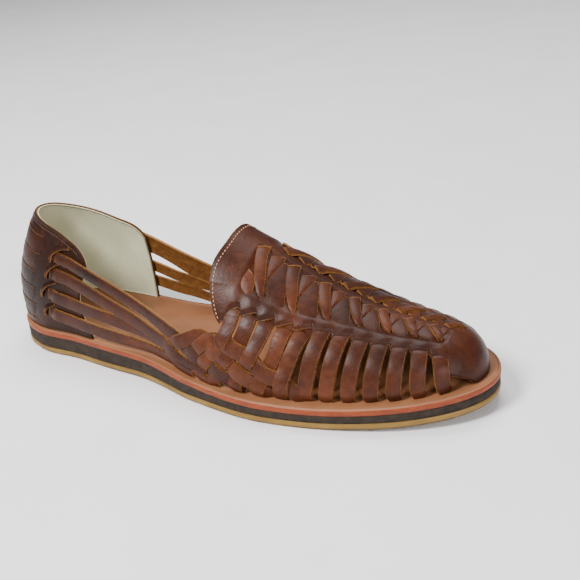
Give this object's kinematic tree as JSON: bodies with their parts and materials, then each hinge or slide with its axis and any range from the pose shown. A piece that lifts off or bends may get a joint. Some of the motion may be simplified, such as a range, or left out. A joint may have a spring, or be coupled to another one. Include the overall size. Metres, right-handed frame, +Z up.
{
  "type": "huarache sandal",
  "caption": "Slip-on woven leather sandal for the right foot: woven vamp and side straps, cupped heel, flat layered sole.",
  "frame": {"origin": "on the floor, under the middle of the shoe's bounding box", "axes": "+X from the heel to the toe, +Y towards the inner (big toe) side, +Z up"},
  "size_m": [0.262, 0.0932, 0.075],
  "materials": {
    "rubber": "honey crepe rubber, satin",
    "foam": "dark brown foam rubber, matte",
    "insole_leather": "undyed tan leather, matte, with an orange dyed edge",
    "counter_leather": "oiled brown leather, satin, with a pale green lining",
    "upper_leather": "oiled red-brown leather, satin"
  },
  "bodies": {
    "root": {"outsole": "rubber", "midsole": "foam", "insole": "insole_leather", "heel_counter": "counter_leather", "upper": "upper_leather"}
  },
  "joints": []
}
